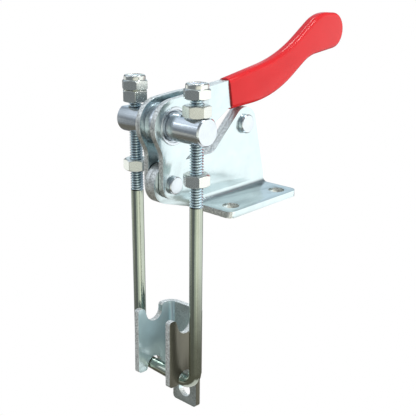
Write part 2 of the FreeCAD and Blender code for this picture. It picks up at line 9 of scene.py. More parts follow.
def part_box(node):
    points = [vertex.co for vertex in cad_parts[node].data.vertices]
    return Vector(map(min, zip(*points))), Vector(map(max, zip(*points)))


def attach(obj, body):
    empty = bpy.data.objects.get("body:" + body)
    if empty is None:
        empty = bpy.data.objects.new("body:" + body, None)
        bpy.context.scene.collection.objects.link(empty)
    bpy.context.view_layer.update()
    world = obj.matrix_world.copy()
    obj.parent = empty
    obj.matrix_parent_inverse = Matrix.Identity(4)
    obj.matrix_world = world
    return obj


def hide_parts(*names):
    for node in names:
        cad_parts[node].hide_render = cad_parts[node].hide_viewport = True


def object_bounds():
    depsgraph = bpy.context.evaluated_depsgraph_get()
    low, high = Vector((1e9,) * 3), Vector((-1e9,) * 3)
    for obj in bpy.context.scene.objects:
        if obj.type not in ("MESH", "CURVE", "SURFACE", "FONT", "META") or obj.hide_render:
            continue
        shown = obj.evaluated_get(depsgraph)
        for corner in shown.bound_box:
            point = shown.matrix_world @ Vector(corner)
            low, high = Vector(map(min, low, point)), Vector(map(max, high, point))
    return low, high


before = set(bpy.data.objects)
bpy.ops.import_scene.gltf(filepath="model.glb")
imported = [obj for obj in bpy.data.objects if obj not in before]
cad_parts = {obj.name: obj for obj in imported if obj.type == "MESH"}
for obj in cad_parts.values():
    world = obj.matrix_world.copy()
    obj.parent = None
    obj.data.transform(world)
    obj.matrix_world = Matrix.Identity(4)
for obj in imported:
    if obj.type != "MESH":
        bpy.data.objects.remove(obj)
packed_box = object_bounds()

bl_info = {
    "name": "Latch clamp with U-bolt",
    "version": (1, 0, 0),
    "blender": (4, 5, 0),
    "location": "View3D > Sidebar > Latch clamp",
    "description": "Dresses the pieces of a vertical latch clamp with a threaded U-bolt",
    "category": "Object",
}

MM = 0.001

# The camera: angles in degrees, lens, sensor and nearest distance in millimetres, place in metres
PHOTO_AZIMUTH = -47.83
PHOTO_ELEVATION = 18.51
PHOTO_ROLL = 0.77
PHOTO_LENS = 54.76
SENSOR_WIDTH = 36.0
NEAREST_SEEN = 10.0
PHOTO_PLACE = (-0.24122, -0.18703, 0.09907)

ROOM_TINT = (0.21, 0.23, 0.25)
GROUND_TINT = (0.17, 0.16, 0.13)
# Elevations, in degrees, between which the ground gives way to the room
GROUND_EDGE = (-34, -24)
# Soft cards: azimuth and elevation, inner and outer half-width, all in degrees, and tint
CARDS = (
    (312, -10, 18, 62, (1.15, 1.15, 1.12)),
    (254, -8, 8, 42, (0.75, 0.72, 0.62)),
    (42, 14, 6, 18, (0.54, 0.66, 0.73)),
    (60, 45, 8, 30, (0.22, 0.29, 0.37)),
    (102, -10, 5, 20, (1.10, 1.10, 1.04)),
    (222, -4, 4, 9, (0.75, 0.72, 0.56)),
    (210, -27, 6, 17, (0.70, 0.74, 0.64)),
    (238, -27, 6, 17, (0.85, 0.88, 0.76)),
    (132, 32, 14, 34, (0.42, 0.46, 0.50)),
    (112, 50, 5, 24, (0.38, 0.42, 0.48)),
    (131, 28, 2, 7, (2.2, 2.3, 2.5)),
    (138, -20, 3, 10, (0.42, 0.38, 0.28)),
    (300, 56, 2, 7, (22.0, 22.0, 22.0)),
    (48, 62, 2, 8, (14.0, 14.0, 14.0)),
    (0, 90, 15, 45, (0.40, 0.45, 0.50)),
)
# Lamps: name, place and width in metres, and power in watts
LAMPS = (
    ("key", (0.25, -0.70, 0.35), 0.6, 2.9),
    ("top", (-0.10, 0.00, 0.90), 0.7, 2.6),
)

LAMP_AIM = (0.0, 0.019, 0.0)
FLOOR_PAINT = (0.86, 0.87, 0.88)

# Noise in the plating, in cells to the metre
CLOUD_SCALE = 120.0
SPECK_SCALE = 2600.0
CRUMB_SCALE = 1400.0
EVEN_GRAIN = (900.0, 900.0, 900.0)
LATHE_GRAIN = (1500.0, 300.0, 1500.0)
FACED_GRAIN = (60.0, 2600.0, 60.0)
DRAWN_GRAIN = (1500.0, 1500.0, 90.0)
# The same for the vinyl's runs, swells and skin, and for the nylon
RUN_SCALE = 60.0
SWELL_SCALE = 160.0
SKIN_SCALE = 1500.0
NYLON_SCALE = 700.0

# Painted shade on the faces marked for it: a near-black painted shadow on the bush's broken bore
# rims, painted shade in the thread's roots and a painted olive-brown shade on the strike plate's
# near wing and tab front
BORE_PAINTED_SHADOW = (0.02, 0.022, 0.028)
STRIKE_PAINTED_SHADE = (0.14, 0.135, 0.105)
GROOVE_SHADE = 0.2

# Distances, in metres, within which corners are merged and lengths are the same
MERGE_DISTANCE = 2e-6
SAME_PLACE = 1e-6
# Faces folded by less than this, in degrees, become one
FLAT_ANGLE = 0.4
# Segments across each rounded edge
EDGE_SEGMENTS = 4
# A face belongs to a broad side where its normal leans at least this far to that side
BROAD_LEAN = 0.5

# How far each nut is turned on its thread, in degrees
NUT_TURNS = {
    "seat_nut_near": 42,
    "seat_nut_far": 19,
    "lower_nut_near": 25,
    "lower_nut_far": 44,
    "lock_nut_near": 21,
    "lock_nut_far": 26,
}


# Sizes and colours that a user may change

def millimetres(name, description, default):
    """A length property, kept in metres and given here in millimetres."""
    return FloatProperty(name=name, description=description, default=default * MM,
                         unit="LENGTH", precision=5, min=0.0)


def colour(name, description, default):
    return FloatVectorProperty(name=name, description=description, default=default,
                               subtype="COLOR", size=3, min=0.0, max=1.0)


def share(name, description, default):
    return FloatProperty(name=name, description=description, default=default,
                         subtype="FACTOR", min=0.0, max=1.0)


class ClampSizes(bpy.types.PropertyGroup):
    """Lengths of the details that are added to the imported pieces."""

    sheet_edge: millimetres("Sheet edge", "Rounding along the edges of stamped sheet", 0.60)
    turned_edge: millimetres("Turned edge", "Rounding along the edges of turned pieces", 0.15)
    bush_edge: millimetres("Bush edge", "Break at the rims of the bush's bore", 0.45)
    thread_pitch: millimetres("Thread pitch", "Rise of the U-bolt's thread in one turn", 1.27)
    thread_depth: millimetres("Thread depth", "Depth of the U-bolt's thread", 0.68)
    nut_edge: millimetres("Nut edge", "Rounding along the corners of the nuts", 0.14)
    collar_round: millimetres("Collar rounding", "Rounding of the lock nuts' collars", 0.9)
    grip_lip: millimetres("Grip lip", "Rounding at the open mouth of the grip", 0.3)


class ClampFinish(bpy.types.PropertyGroup):
    """Colours and gloss of the finishes."""

    zinc: colour("Zinc", "Bright zinc plating on flat sheet", (0.66, 0.76, 0.78))
    cut_edge: colour("Cut edge", "Zinc plating on sheared edges", (0.74, 0.76, 0.74))
    turned: colour("Turned zinc", "Zinc plating on turned pieces", (0.68, 0.73, 0.77))
    wire: colour("Wire", "Zinc plating on the U-bolt's rod", (0.42, 0.46, 0.39))
    thread: colour("Thread", "Zinc plating on the U-bolt's thread", (0.72, 0.84, 0.90))
    nut: colour("Nut", "Zinc plating on the nuts", (0.76, 0.78, 0.74))
    strike: colour("Strike plate", "Dull zinc plating on the strike plate", (0.74, 0.90, 0.93))
    nylon: colour("Nylon", "Locking rings in the nuts", (0.80, 0.86, 0.90))
    vinyl: colour("Vinyl", "Dipped vinyl of the grip", (0.66, 0.020, 0.024))
    zinc_roughness: share("Zinc roughness", "Roughness of the plated sheet", 0.24)
    vinyl_roughness: share("Vinyl roughness", "Roughness of the grip", 0.17)


class ClampStage(bpy.types.PropertyGroup):
    """The floor and the light."""

    floor_drop: FloatProperty(name="Floor drop", default=0.4, unit="LENGTH", min=0.0,
                              description="Distance from the lowest piece down to the floor")
    floor_size: FloatProperty(name="Floor size", default=0.5, unit="LENGTH", min=0.1,
                              description="Width of the floor")
    light: FloatProperty(name="Light", description="Strength of the studio's light",
                         default=1.0, min=0.0)


def sizes():
    return bpy.context.scene.clamp_sizes


def finishes():
    return bpy.context.scene.clamp_finish


# Shader maths

class Signal:
    """A shader value or colour that takes part in ordinary arithmetic."""

    def __init__(self, shader, socket):
        self.shader = shader
        self.socket = socket

    def maths(self, operation, *values):
        return self.shader.node("ShaderNodeMath", {"operation": operation}, *values).out()

    def __add__(self, other):
        return self.maths("ADD", self, other)

    def __sub__(self, other):
        return self.maths("SUBTRACT", self, other)

    def __rsub__(self, other):
        return self.maths("SUBTRACT", other, self)

    def __mul__(self, other):
        return self.maths("MULTIPLY", self, other)

    __radd__ = __add__
    __rmul__ = __mul__

    def clamped(self):
        return self.shader.node("ShaderNodeClamp", {}, self, 0.0, 1.0).out()


class Placed:
    """A node just made, whose outputs are read by name or number."""

    def __init__(self, shader, node):
        self.shader = shader
        self.node = node

    def out(self, name=0):
        return Signal(self.shader, self.node.outputs[name])


class Shader:
    """The node tree of one material or of the world."""

    # A Mix node's colour sockets share their names with others, so they go by number
    MIX_FIRST, MIX_SECOND, MIX_RESULT = 6, 7, 2

    def __init__(self, owner):
        owner.use_nodes = True
        self.tree = owner.node_tree
        self.tree.nodes.clear()

    def put(self, socket, value):
        if isinstance(value, Signal):
            self.tree.links.new(value.socket, socket)
        elif isinstance(value, (tuple, list)) and len(value) == 3 and socket.type == "RGBA":
            socket.default_value = (*value, 1.0)
        else:
            socket.default_value = value

    def node(self, kind, settings, *values, **named):
        """Adds a node, applies its settings first, then fills its sockets."""
        node = self.tree.nodes.new(kind)
        for name, value in settings.items():
            if name == "stops":
                for stop, (place, level) in zip(node.color_ramp.elements, value):
                    stop.position = place
                    stop.color = (level, level, level, 1.0)
            else:
                setattr(node, name, value)
        for socket, value in zip(node.inputs, values):
            self.put(socket, value)
        for name, value in named.items():
            self.put(node.inputs[name.replace("_", " ")], value)
        return Placed(self, node)

    def object_place(self):
        return self.node("ShaderNodeTexCoord", {}).out("Object")

    def noise(self, place, scale, detail, roughness):
        made = self.node("ShaderNodeTexNoise", {}, Vector=place, Scale=scale, Detail=detail,
                         Roughness=roughness)
        return made.out("Fac")

    def ramp(self, value, first, last):
        """Black up to the first level of a value and white from the last one on."""
        stops = ((first, 0.0), (last, 1.0))
        return self.node("ShaderNodeValToRGB", {"stops": stops}, value).out()

    def rise(self, value, first, last):
        """Goes softly from 0 at the first level of a value to 1 at the last one."""
        return self.node("ShaderNodeMapRange", {"interpolation_type": "SMOOTHSTEP"}, value,
                         first, last).out()

    def vectors(self, operation, *values, **named):
        return self.node("ShaderNodeVectorMath", {"operation": operation}, *values, **named)

    def blend(self, factor, first, second):
        mixed = self.node("ShaderNodeMix", {"data_type": "RGBA"}, Factor=factor)
        self.put(mixed.node.inputs[self.MIX_FIRST], first)
        self.put(mixed.node.inputs[self.MIX_SECOND], second)
        return mixed.out(self.MIX_RESULT)

    def stretched(self, place, scale):
        return self.node("ShaderNodeMapping", {}, Vector=place, Scale=scale).out()

    def bump(self, height, strength, distance):
        return self.node("ShaderNodeBump", {}, Strength=strength, Distance=distance,
                         Height=height).out()

    def seen_directly(self):
        """1 for what the camera, a mirror or clear plastic sees, and 0 for soft light."""
        path = self.node("ShaderNodeLightPath", {})
        return (path.out("Is Camera Ray") + path.out("Is Glossy Ray")
                + path.out("Is Transmission Ray")).clamped()

    def finish(self, surface, output="ShaderNodeOutputMaterial"):
        self.node(output, {}, Surface=surface.out())


def scaled(tint, amount):
    return tuple(min(1.0, part * amount) for part in tint)


# Finishes

def plated(name, tint, roughness, cut_tint=None, grain=EVEN_GRAIN, metal=1.0, painted_shade_tint=None,
           relief_strength=0.07):
    """Bright zinc plating with cloudy passivation, faint scuffs and a rolled grain.

    Faces marked cut_edge get the crumbled look of sheared steel, and those marked for painted
    shade get a dark tint that is painted shade.
    """
    material = bpy.data.materials.new(name)
    shader = Shader(material)
    place = shader.object_place()
    cloud = shader.noise(place, CLOUD_SCALE, 4.0, 0.6)
    fine = shader.noise(shader.stretched(place, grain), 1.0, 3.0, 0.6)
    speck = shader.noise(place, SPECK_SCALE, 2.0, 0.7)
    worn = shader.ramp(cloud, 0.35, 0.68)
    tone = shader.blend(worn, scaled(tint, 0.95), scaled(tint, 1.04))
    rough = roughness + (cloud - 0.5) * 0.08 + (fine - 0.5) * 0.08
    relief = fine * 0.55 + speck * 0.25 + cloud * 0.2
    metallic = metal
    if cut_tint is not None:
        cut = shader.node("ShaderNodeAttribute", {"attribute_name": "cut_edge"}).out("Fac")
        crumb = shader.noise(place, CRUMB_SCALE, 3.0, 0.7)
        streak = shader.ramp(crumb, 0.40, 0.60)
        crumbled = shader.blend(streak, scaled(cut_tint, 0.62), scaled(cut_tint, 1.30))
        tone = shader.blend(cut, tone, crumbled)
        rough = rough + cut * 0.08
        relief = relief + cut * crumb * 2.0
        metallic = (metal - cut * 0.35).clamped()
    # Painted shade: the marked faces take a dark tint that stands for shade in gaps, grooves and
    # on a shaded side
    if painted_shade_tint is not None:
        dark = shader.node("ShaderNodeAttribute", {"attribute_name": "painted_shade"}).out("Fac")
        tone = shader.blend(dark, tone, painted_shade_tint)
    shader.finish(shader.node("ShaderNodeBsdfPrincipled", {}, Base_Color=tone,
                              Metallic=metallic, Roughness=rough.clamped(),
                              Normal=shader.bump(relief, relief_strength, 0.15 * MM)))
    return material


def vinyl_finish():
    """Dipped vinyl: deep red and glossy, with faint runs and a soft skin."""
    look = finishes()
    material = bpy.data.materials.new("dipped_vinyl")
    shader = Shader(material)
    place = shader.object_place()
    runs = shader.noise(place, RUN_SCALE, 3.0, 0.5)
    swell = shader.noise(place, SWELL_SCALE, 2.0, 0.5)
    skin = shader.noise(place, SKIN_SCALE, 2.0, 0.5)
    tint = tuple(look.vinyl)
    tone = shader.blend(runs, scaled(tint, 0.92), scaled(tint, 1.08))
    rough = look.vinyl_roughness + (runs - 0.5) * 0.06
    relief = skin * 0.15 + swell * 0.6
    shader.finish(shader.node("ShaderNodeBsdfPrincipled", {}, Base_Color=tone, IOR=1.30,
                              Roughness=rough, Normal=shader.bump(relief, 0.06, 0.3 * MM)))
    return material


def nylon_finish():
    """Natural nylon: slightly blue, waxy and a little see-through at thin edges."""
    material = bpy.data.materials.new("natural_nylon")
    shader = Shader(material)
    place = shader.object_place()
    cloud = shader.noise(place, NYLON_SCALE, 2.0, 0.5)
    tint = tuple(finishes().nylon)
    tone = shader.blend(cloud, scaled(tint, 0.92), scaled(tint, 1.04))
    shader.finish(shader.node("ShaderNodeBsdfPrincipled", {}, Base_Color=tone,
                              Roughness=0.38 + cloud * 0.12,
                              Normal=shader.bump(cloud, 0.08, 0.2 * MM),
                              Subsurface_Weight=0.2, Subsurface_Scale=0.6 * MM))
    return material


# Mesh helpers

def add_piece(bm, name, body, material, replaced=(), edge=0.0, edge_angle=30.0):
    """Turns a bmesh into a finished piece that rides on one of the clamp's bodies."""
    mesh = bpy.data.meshes.new(name)
    bmesh.ops.recalc_face_normals(bm, faces=bm.faces)
    bm.to_mesh(mesh)
    bm.free()
    mesh.materials.append(material)
    piece = bpy.data.objects.new(name, mesh)
    bpy.context.scene.collection.objects.link(piece)
    mesh.shade_smooth()
    if edge > 0.0:
        bevel = piece.modifiers.new("soft edges", "BEVEL")
        bevel.limit_method = "ANGLE"
        bevel.angle_limit = math.radians(edge_angle)
        bevel.width = edge
        bevel.segments = EDGE_SEGMENTS
        bevel.harden_normals = True
    else:
        mesh.set_sharp_from_angle(angle=math.radians(edge_angle))
    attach(piece, body)
    for node in replaced:
        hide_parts(node)
    return piece


def merged_copy(node):
    """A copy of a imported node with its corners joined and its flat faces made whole."""
    bm = bmesh.new()
    bm.from_mesh(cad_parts[node].data)
    bmesh.ops.remove_doubles(bm, verts=bm.verts, dist=MERGE_DISTANCE)
    bmesh.ops.dissolve_limit(bm, angle_limit=math.radians(FLAT_ANGLE),
                             use_dissolve_boundaries=False, verts=bm.verts, edges=bm.edges)
    return bm


def mark_faces(bm, name, amount):
    """Writes a value on each face, for the plated finish to read."""
    layer = bm.faces.layers.float.new(name)
    for face in bm.faces:
        face[layer] = float(amount(face))


def sheared(face):
    """Whether a face is part of an upright sheet's cut outline, not of its broad sides."""
    return abs(face.normal.y) < BROAD_LEAN


def upright_axis(low, high):
    """The foot of the upright axis through the middle of a box."""
    return Vector(((low.x + high.x) / 2, (low.y + high.y) / 2, 0.0))


def turned(bm, axis, section, steps):
    """Spins a closed section of radii and heights round an upright axis."""
    verts = [bm.verts.new(axis + Vector((radius, 0, height))) for radius, height in section]
    edges = [bm.edges.new(pair) for pair in zip(verts, verts[1:] + verts[:1])]
    bmesh.ops.spin(bm, geom=verts + edges, cent=axis, axis=(0, 0, 1), angle=math.tau,
                   steps=steps, use_merge=True)


def ring(bm, radius, centre, segments):
    made = bmesh.ops.create_circle(bm, segments=segments, radius=radius)
    bmesh.ops.translate(bm, verts=made["verts"], vec=centre)
    return list({edge for vert in made["verts"] for edge in vert.link_edges})


def drawn_on(bm, edges, offset):
    """Extrudes a ring of edges by an offset and returns the new ring."""
    made = bmesh.ops.extrude_edge_only(bm, edges=edges)["geom"]
    verts = [item for item in made if isinstance(item, bmesh.types.BMVert)]
    bmesh.ops.translate(bm, verts=verts, vec=offset)
    return [item for item in made if isinstance(item, bmesh.types.BMEdge)]


def swept_round(bm, edges, centre, steps):
    """Sweeps a ring of edges a quarter turn about an axis along X; returns the last ring."""
    made = bmesh.ops.spin(bm, geom=edges, cent=centre, axis=(1, 0, 0), angle=math.pi / 2,
                          steps=steps, use_merge=False)
    return [item for item in made["geom_last"] if isinstance(item, bmesh.types.BMEdge)]


# Operators for the pieces

class CLAMP_OT_base(bpy.types.Operator):
    """Dress the flanged base plate and the side plate riveted to it"""

    bl_idname = "clamp.base"
    bl_label = "Base plates"

    WEB_REACH = 3.4 * MM

    def execute(self, context):
        size, look = sizes(), finishes()
        plate = plated("zinc_plate", tuple(look.zinc), look.zinc_roughness,
                       cut_tint=tuple(look.cut_edge))
        web_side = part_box("side_plate")[0].y - self.WEB_REACH

        def cut_on_base(face):
            on_web = face.calc_center_median().y > web_side
            return sheared(face) if on_web else abs(face.normal.x) > BROAD_LEAN

        for node, is_cut in (("base_plate", cut_on_base), ("side_plate", sheared)):
            bm = merged_copy(node)
            mark_faces(bm, "cut_edge", is_cut)
            add_piece(bm, node + "_dressed", "base", plate, [node],
                      edge=size.sheet_edge)
        return {"FINISHED"}


class CLAMP_OT_rivets(bpy.types.Operator):
    """Dress the two rivets"""

    bl_idname = "clamp.rivets"
    bl_label = "Rivets"

    def execute(self, context):
        size, look = sizes(), finishes()
        metal = plated("zinc_rivet", tuple(look.turned), roughness=0.24)
        for node in ("pivot_rivet", "stop_rivet"):
            add_piece(merged_copy(node), node + "_dressed", "base", metal, [node],
                      edge=size.turned_edge)
        return {"FINISHED"}


class CLAMP_OT_lever(bpy.types.Operator):
    """Dress the two joggled lever plates"""

    bl_idname = "clamp.lever"
    bl_label = "Lever plates"

    def execute(self, context):
        size, look = sizes(), finishes()
        plate = plated("zinc_lever", tuple(look.zinc), look.zinc_roughness,
                       cut_tint=tuple(look.cut_edge))
        for node in ("lever_plate_near", "lever_plate_far"):
            bm = merged_copy(node)
            mark_faces(bm, "cut_edge", sheared)
            add_piece(bm, node + "_dressed", "lever", plate, [node],
                      edge=size.sheet_edge)
        return {"FINISHED"}


class CLAMP_OT_grip(bpy.types.Operator):
    """Dress the dipped vinyl grip"""

    bl_idname = "clamp.grip"
    bl_label = "Vinyl grip"

    def execute(self, context):
        add_piece(merged_copy("grip"), "vinyl_grip", "lever", vinyl_finish(),
                  ["grip"], edge=sizes().grip_lip, edge_angle=40.0)
        return {"FINISHED"}


class CLAMP_OT_trunnion(bpy.types.Operator):
    """Dress the floating bush and the cross pin in it"""

    bl_idname = "clamp.trunnion"
    bl_label = "Bush and cross pin"

    RIM_ANGLE = 60.0
    BORE_REACH = 0.2 * MM

    def execute(self, context):
        size, look = sizes(), finishes()
        pin_metal = plated("zinc_pin", tuple(look.turned), roughness=0.22,
                           grain=LATHE_GRAIN, relief_strength=0.35)
        bush_metal = plated("zinc_bush", tuple(look.turned), roughness=0.26,
                            grain=FACED_GRAIN, painted_shade_tint=BORE_PAINTED_SHADOW)
        bm = merged_copy("trunnion_bush")
        broken = self.break_rims(bm, size.bush_edge)
        # The broken rims get a near-black painted shadow, standing for the dark gap between the
        # bore and the pin
        mark_faces(bm, "painted_shade", lambda face: face in broken)
        add_piece(bm, "bush_dressed", "bush", bush_metal, ["trunnion_bush"],
                  edge=size.turned_edge, edge_angle=self.RIM_ANGLE)
        add_piece(merged_copy("cross_pin"), "pin_dressed", "pin", pin_metal,
                  ["cross_pin"], edge=size.turned_edge)
        return {"FINISHED"}

    def break_rims(self, bm, width):
        """Bevels both rims of the bush's bore and returns the new faces."""
        low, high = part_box("cross_pin")
        axis, bore = (low + high) / 2, (high.z - low.z) / 2 + self.BORE_REACH

        def off_axis(vert):
            return math.hypot(vert.co.x - axis.x, vert.co.z - axis.z)

        rims = [edge for edge in bm.edges
                if edge.calc_face_angle() > math.radians(self.RIM_ANGLE)
                and all(off_axis(vert) < bore for vert in edge.verts)]
        made = bmesh.ops.bevel(bm, geom=rims, offset=width, offset_type="OFFSET", segments=1,
                               profile=0.5, affect="EDGES", material=-1)
        return set(made["faces"])


class CLAMP_OT_u_bolt(bpy.types.Operator):
    """Make the U-bolt: a bent rod with a rolled thread on both legs"""

    bl_idname = "clamp.u_bolt"
    bl_label = "U-bolt"

    ROD_RADIUS = 3.1 * MM
    BEND_RADIUS = 8.0 * MM
    THREAD_LOW = 8.5 * MM
    CREST_ROUND = 0.12 * MM
    END_CHAMFER = 0.7 * MM
    ROOT_SLACK = 0.01 * MM
    RUN_IN_TURNS = 1.5
    SEGMENTS = 32
    BEND_STEPS = 12

    def execute(self, context):
        look = finishes()
        low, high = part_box("u_bolt")
        centre_x = (low.x + high.x) / 2
        outer = (high.x - low.x) / 2
        legs = (low.y + outer, high.y - outer)
        drawn = plated("zinc_wire", tuple(look.wire), roughness=0.17, grain=DRAWN_GRAIN)
        bm = bmesh.new()
        self.bend_rod(bm, centre_x, legs, low.z + self.ROD_RADIUS)
        add_piece(bm, "u_bolt_rod", "bolt", drawn, ["u_bolt"], edge_angle=50.0)
        rolled = plated("zinc_thread", tuple(look.thread), roughness=0.18,
                        painted_shade_tint=scaled(look.thread, GROOVE_SHADE))
        for side, leg in zip(("near", "far"), legs):
            bm = bmesh.new()
            self.roll_thread(bm, Vector((centre_x, leg, 0.0)), outer, self.THREAD_LOW, high.z)
            add_piece(bm, "thread_" + side, "bolt", rolled, ["u_bolt"])
        return {"FINISHED"}

    def bend_rod(self, bm, x, legs, bar):
        """Draws the plain rod down the near leg, along the bar and up the far leg."""
        near, far = legs
        bend, top = self.BEND_RADIUS, self.THREAD_LOW
        level = bar + bend
        edges = ring(bm, self.ROD_RADIUS, (x, near, top), self.SEGMENTS)
        edges = drawn_on(bm, edges, (0, 0, level - top))
        edges = swept_round(bm, edges, (x, near + bend, level), self.BEND_STEPS)
        edges = drawn_on(bm, edges, (0, far - near - 2 * bend, 0))
        edges = swept_round(bm, edges, (x, far - bend, level), self.BEND_STEPS)
        drawn_on(bm, edges, (0, 0, top - level))

    def roll_thread(self, bm, foot, outer, low, high):
        """Screws a thread profile up one leg, then trims both of its ends and closes the upper
        one.
        """
        size = sizes()
        pitch, root = size.thread_pitch, outer - size.thread_depth
        shoulder = outer - self.CREST_ROUND
        # One turn's section: radii, and rises as shares of the pitch
        profile = [(root, 0.0), (root, 0.13), (shoulder, 0.35), (outer, 0.43), (outer, 0.57),
                   (shoulder, 0.65), (root, 0.87), (root, 1.0)]
        start = low - self.RUN_IN_TURNS * pitch
        turns = math.ceil((high - start) / pitch) + 1
        verts = [bm.verts.new(foot + Vector((radius, 0, start + rise * pitch)))
                 for radius, rise in profile]
        edges = [bm.edges.new(pair) for pair in zip(verts, verts[1:])]
        bmesh.ops.spin(bm, geom=verts + edges, cent=foot, axis=(0, 0, 1),
                       dvec=(0, 0, pitch / self.SEGMENTS), angle=math.tau * turns,
                       steps=self.SEGMENTS * turns, use_merge=False)
        bmesh.ops.remove_doubles(bm, verts=bm.verts, dist=SAME_PLACE)
        for height, side in ((low, -1), (high, 1)):
            bmesh.ops.bisect_plane(bm, geom=bm.verts[:] + bm.edges[:] + bm.faces[:],
                                   dist=SAME_PLACE / 10, plane_co=(0, 0, height),
                                   plane_no=(0, 0, side), clear_outer=True)
        end = [edge for edge in bm.edges if edge.is_boundary
               and all(abs(vert.co.z - high) < SAME_PLACE for vert in edge.verts)]
        bmesh.ops.contextual_create(bm, geom=end)

        def at_root(face):
            is_end = len(face.verts) >= len(profile)
            return not is_end and all((vert.co.xy - foot.xy).length < root + self.ROOT_SLACK
                                      for vert in face.verts)

        # Painted shade: the faces at the thread's roots are darkened
        mark_faces(bm, "painted_shade", at_root)
        for vert in bm.verts:
            offset = vert.co.xy - foot.xy
            limit = outer - self.END_CHAMFER + (high - vert.co.z)
            if offset.length > limit:
                vert.co.xy = foot.xy + offset * (limit / offset.length)


class CLAMP_OT_nuts(bpy.types.Operator):
    """Make the plain nuts and the lock nuts with their chamfered corners"""

    bl_idname = "clamp.nuts"
    bl_label = "Nuts"

    COLUMNS = 72
    HALF_FLATS = 11.11 / 2 * MM
    FACE_EDGE = HALF_FLATS - 0.4 * MM
    CORNER_SLOPE = math.tan(math.radians(30))
    BORE = 3.0 * MM
    BORE_BREAK_LOW = 0.25 * MM
    BORE_BREAK_TOP = 0.45 * MM
    LOCK_HEX_HEIGHT = 4.7 * MM
    COLLAR = 5.1 * MM
    COLLAR_STEPS = 6
    FLAT_TURN = 0.2
    # The collar's mouth over the nylon ring: radii, and depths below the collar's top
    MOUTH = ((3.8, 0.0), (3.75, 0.35), (4.1, 0.4), (4.1, 1.4), (3.0, 1.4))

    def execute(self, context):
        look, size = finishes(), sizes()
        metal = plated("zinc_nut", tuple(look.nut), roughness=0.27)
        for node, turn in NUT_TURNS.items():
            low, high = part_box(node)
            bm = bmesh.new()
            if node.startswith("lock"):
                top = low.z + self.LOCK_HEX_HEIGHT
                inside = self.collar(top, high.z)
            else:
                top = high.z
                inside = self.plain_top(top)
            self.hexagon(bm, upright_axis(low, high), low.z, top, inside, turn)
            add_piece(bm, node + "_dressed", "bolt", metal, [node],
                      edge=size.nut_edge, edge_angle=24.0)
        return {"FINISHED"}

    def plain_top(self, top):
        return [(self.BORE + self.BORE_BREAK_TOP, top), (self.BORE, top - self.BORE_BREAK_TOP)]

    def collar(self, level, top):
        """The round collar of a lock nut, from the hexagon up and into its mouth."""
        curve = sizes().collar_round
        section = [(self.COLLAR, level)]
        for step in range(self.COLLAR_STEPS + 1):
            angle = math.pi / 2 * step / self.COLLAR_STEPS
            section.append((self.COLLAR - curve * (1 - math.cos(angle)),
                            top - curve * (1 - math.sin(angle))))
        return section + [(radius * MM, top - depth * MM) for radius, depth in self.MOUTH]

    def hexagon(self, bm, axis, bottom, top, inside, turn):
        """Spins a nut's section, then pushes its wall out to a hexagon with bevelled corners."""
        outside = [(self.BORE + self.BORE_BREAK_LOW, bottom), (self.FACE_EDGE, bottom),
                   (self.HALF_FLATS, bottom), (self.HALF_FLATS, top), (self.FACE_EDGE, top)]
        turned(bm, axis, outside + inside + [(self.BORE, bottom + self.BORE_BREAK_LOW)],
               self.COLUMNS)
        for vert in bm.verts:
            offset = vert.co.xy - axis.xy
            if abs(offset.length - self.HALF_FLATS) > SAME_PLACE:
                continue
            around = math.atan2(offset.y, offset.x)
            nearest = (around + math.pi / 6) % (math.pi / 3) - math.pi / 6
            reach = self.HALF_FLATS / math.cos(nearest)
            vert.co.xy = axis.xy + offset * (reach / offset.length)
            drop = (reach - self.FACE_EDGE) * self.CORNER_SLOPE
            vert.co.z += drop if vert.co.z < (bottom + top) / 2 else -drop
        bmesh.ops.rotate(bm, verts=bm.verts, cent=axis,
                         matrix=Matrix.Rotation(math.radians(turn), 3, "Z"))
        flat = [edge for edge in bm.edges if len(edge.link_faces) == 2
                and edge.calc_face_angle() < math.radians(self.FLAT_TURN)]
        bmesh.ops.dissolve_edges(bm, edges=flat, use_verts=False)


class CLAMP_OT_lock_inserts(bpy.types.Operator):
    """Make the nylon rings that grip the thread in the lock nuts"""

    bl_idname = "clamp.lock_inserts"
    bl_label = "Lock nut inserts"

    INNER = 3.1 * MM
    MOUTH_WIDTH = 0.5 * MM
    MOUTH_DEPTH = 0.3 * MM
    COLUMNS = 48

    def execute(self, context):
        nylon = nylon_finish()
        for node in ("lock_insert_near", "lock_insert_far"):
            low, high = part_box(node)
            outer = (high.x - low.x) / 2
            section = [(self.INNER, low.z), (outer, low.z), (outer, high.z),
                       (self.INNER + self.MOUTH_WIDTH, high.z),
                       (self.INNER, high.z - self.MOUTH_DEPTH)]
            bm = bmesh.new()
            turned(bm, upright_axis(low, high), section, self.COLUMNS)
            add_piece(bm, node + "_dressed", "bolt", nylon, [node], edge_angle=35.0)
        return {"FINISHED"}


